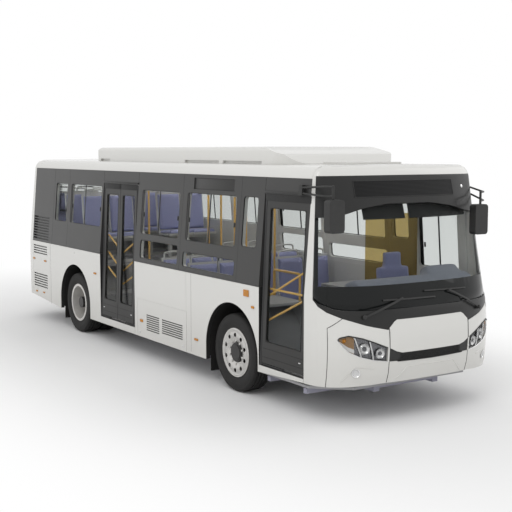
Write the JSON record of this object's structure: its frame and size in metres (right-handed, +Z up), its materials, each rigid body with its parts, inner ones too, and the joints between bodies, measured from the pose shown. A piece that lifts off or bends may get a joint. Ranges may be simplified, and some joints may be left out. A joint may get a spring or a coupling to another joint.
{
  "type": "electric city bus",
  "caption": "Low-floor battery electric city bus with inward-gliding passenger doors, steered front wheels, twin rear wheels, service flaps and a roof fairing.",
  "frame": {"origin": "on the ground under the middle of the bus", "axes": "+Z up, the front faces -Y, the kerb side with the doors faces -X"},
  "size_m": [2.524, 9.1968, 2.98],
  "materials": {
    "body_white": "gloss",
    "band_grey": "satin",
    "mask_grey": "satin",
    "glass": "clear",
    "tinted_panel": "tinted",
    "frame_lavender": "matte",
    "floor_grey": "matte",
    "black_plastic": "matte",
    "black_steel": "satin",
    "lamp_clear": "clear",
    "lamp_red": "gloss",
    "lamp_amber": "gloss",
    "dash_blue_grey": "matte",
    "seat_blue": "woven",
    "seat_frame": "satin",
    "rail_yellow": "gloss",
    "spring_rubber": "matte",
    "battery_grey": "matte",
    "wheel_silver": "satin",
    "tyre": "matte"
  },
  "bodies": {
    "body": {"underframe": "frame_lavender", "floor": "floor_grey", "wheel_arches": "black_plastic", "right_skirt": "body_white", "left_skirt": "body_white", "right_band": "band_grey", "left_band": "band_grey", "window_glass": "glass", "roof": "body_white", "roof_fairing": "body_white", "front_cap": "body_white", "front_header": "mask_grey", "windscreen": "glass", "front_mask": "mask_grey", "front_corners": "body_white", "front_bumper": "body_white", "grille": "black_plastic", "headlamps": "lamp_clear", "rear_panel": "body_white", "rear_bumper": "body_white", "tail_lamps": "lamp_red", "mirrors": "black_plastic", "wipers": "black_steel", "marker_lamps": "lamp_amber", "dashboard": "dash_blue_grey", "steering_wheel": "black_plastic", "driver_seat": "seat_blue", "driver_partition": "tinted_panel", "seat_shells": "seat_frame", "seat_pads": "seat_blue", "handrails": "rail_yellow", "front_axle": "black_steel", "rear_axle": "black_steel", "air_springs": "spring_rubber", "battery_box": "battery_grey"},
    "front_flap": {"front_flap": "body_white"},
    "rear_hatch": {"rear_hatch": "body_white"},
    "right_flap": {"right_flap": "body_white"},
    "left_flap": {"left_flap": "body_white"},
    "front_post": {"front_post": "black_steel"},
    "front_leaf": {"front_leaf": "band_grey", "front_leaf_glass": "glass"},
    "rear_post_a": {"rear_post_a": "black_steel"},
    "rear_leaf_a": {"rear_leaf_a": "band_grey", "rear_leaf_a_glass": "glass"},
    "rear_post_b": {"rear_post_b": "black_steel"},
    "rear_leaf_b": {"rear_leaf_b": "band_grey", "rear_leaf_b_glass": "glass"},
    "right_knuckle": {"right_knuckle": "black_steel"},
    "left_knuckle": {"left_knuckle": "black_steel"},
    "track_rod": {"track_rod": "seat_frame"},
    "right_front_wheel": {"right_front_wheel": "wheel_silver", "right_front_tyre": "tyre"},
    "left_front_wheel": {"left_front_wheel": "wheel_silver", "left_front_tyre": "tyre"},
    "right_rear_wheel": {"right_rear_wheel": "wheel_silver", "right_rear_tyre": "tyre"},
    "left_rear_wheel": {"left_rear_wheel": "wheel_silver", "left_rear_tyre": "tyre"}
  },
  "joints": [
    {"name": "front_post_turn", "type": "hinge", "parent": "body", "child": "front_post", "pos_m": [-1.23102, -3.047, 0.44914], "axis": [0.045, 0, 0.999], "range_deg": [0, 90]},
    {"name": "front_leaf_glide", "type": "hinge", "parent": "front_post", "child": "front_leaf", "pos_m": [-1.23102, -3.4875, 0.44914], "axis": [0.045, 0, 0.999], "range_deg": [-180, 0]},
    {"name": "rear_post_a_turn", "type": "hinge", "parent": "body", "child": "rear_post_a", "pos_m": [-1.23102, 0.257, 0.39916], "axis": [-0.0439, 0, -0.999], "range_deg": [0, 90]},
    {"name": "rear_leaf_a_glide", "type": "hinge", "parent": "rear_post_a", "child": "rear_leaf_a", "pos_m": [-1.23102, 0.55, 0.39916], "axis": [-0.0439, 0, -0.999], "range_deg": [-180, 0]},
    {"name": "rear_post_b_turn", "type": "hinge", "parent": "body", "child": "rear_post_b", "pos_m": [-1.23102, 1.383, 0.39916], "axis": [0.0439, 0, 0.999], "range_deg": [0, 90]},
    {"name": "rear_leaf_b_glide", "type": "hinge", "parent": "rear_post_b", "child": "rear_leaf_b", "pos_m": [-1.23102, 1.09, 0.39916], "axis": [0.0439, 0, 0.999], "range_deg": [-180, 0]},
    {"name": "right_steer", "type": "hinge", "parent": "body", "child": "right_knuckle", "pos_m": [-0.88, -2.4, 0.48], "axis": [0, 0, 1], "range_deg": [-40, 40]},
    {"name": "left_steer", "type": "hinge", "parent": "body", "child": "left_knuckle", "pos_m": [0.88, -2.4, 0.48], "axis": [0, 0, 1], "range_deg": [-40, 40]},
    {"name": "track_rod_pivot", "type": "hinge", "parent": "right_knuckle", "child": "track_rod", "pos_m": [-0.88, -2.22, 0.225], "axis": [0, 0, 1], "range_deg": [-40, 40]},
    {"name": "right_front_roll", "type": "hinge", "parent": "right_knuckle", "child": "right_front_wheel", "pos_m": [-1.062, -2.4, 0.48], "axis": [1, 0, 0], "continuous": true},
    {"name": "left_front_roll", "type": "hinge", "parent": "left_knuckle", "child": "left_front_wheel", "pos_m": [1.062, -2.4, 0.48], "axis": [1, 0, 0], "continuous": true},
    {"name": "right_rear_roll", "type": "hinge", "parent": "body", "child": "right_rear_wheel", "pos_m": [-1.062, 2.41, 0.48], "axis": [1, 0, 0], "continuous": true},
    {"name": "left_rear_roll", "type": "hinge", "parent": "body", "child": "left_rear_wheel", "pos_m": [1.062, 2.41, 0.48], "axis": [1, 0, 0], "continuous": true},
    {"name": "front_flap_lift", "type": "hinge", "parent": "body", "child": "front_flap", "pos_m": [0, -4.566, 1.1297], "axis": [-1, 0, 0], "range_deg": [0, 75]},
    {"name": "rear_hatch_lift", "type": "hinge", "parent": "body", "child": "rear_hatch", "pos_m": [0, 4.577, 1.4797], "axis": [1, 0, 0], "range_deg": [0, 75]},
    {"name": "right_flap_lift", "type": "hinge", "parent": "body", "child": "right_flap", "pos_m": [-1.25, -0.578, 0.8403], "axis": [0, 1, 0], "range_deg": [0, 90]},
    {"name": "left_flap_lift", "type": "hinge", "parent": "body", "child": "left_flap", "pos_m": [1.25, -0.578, 0.8403], "axis": [0, -1, 0], "range_deg": [0, 90]}
  ],
  "couplings": [
    {"joint": "front_leaf_glide", "follows": "front_post_turn", "ratio": -2},
    {"joint": "rear_leaf_a_glide", "follows": "rear_post_a_turn", "ratio": -2},
    {"joint": "rear_leaf_b_glide", "follows": "rear_post_b_turn", "ratio": -2},
    {"joint": "left_steer", "follows": "right_steer", "ratio": 1},
    {"joint": "track_rod_pivot", "follows": "right_steer", "ratio": -1}
  ]
}
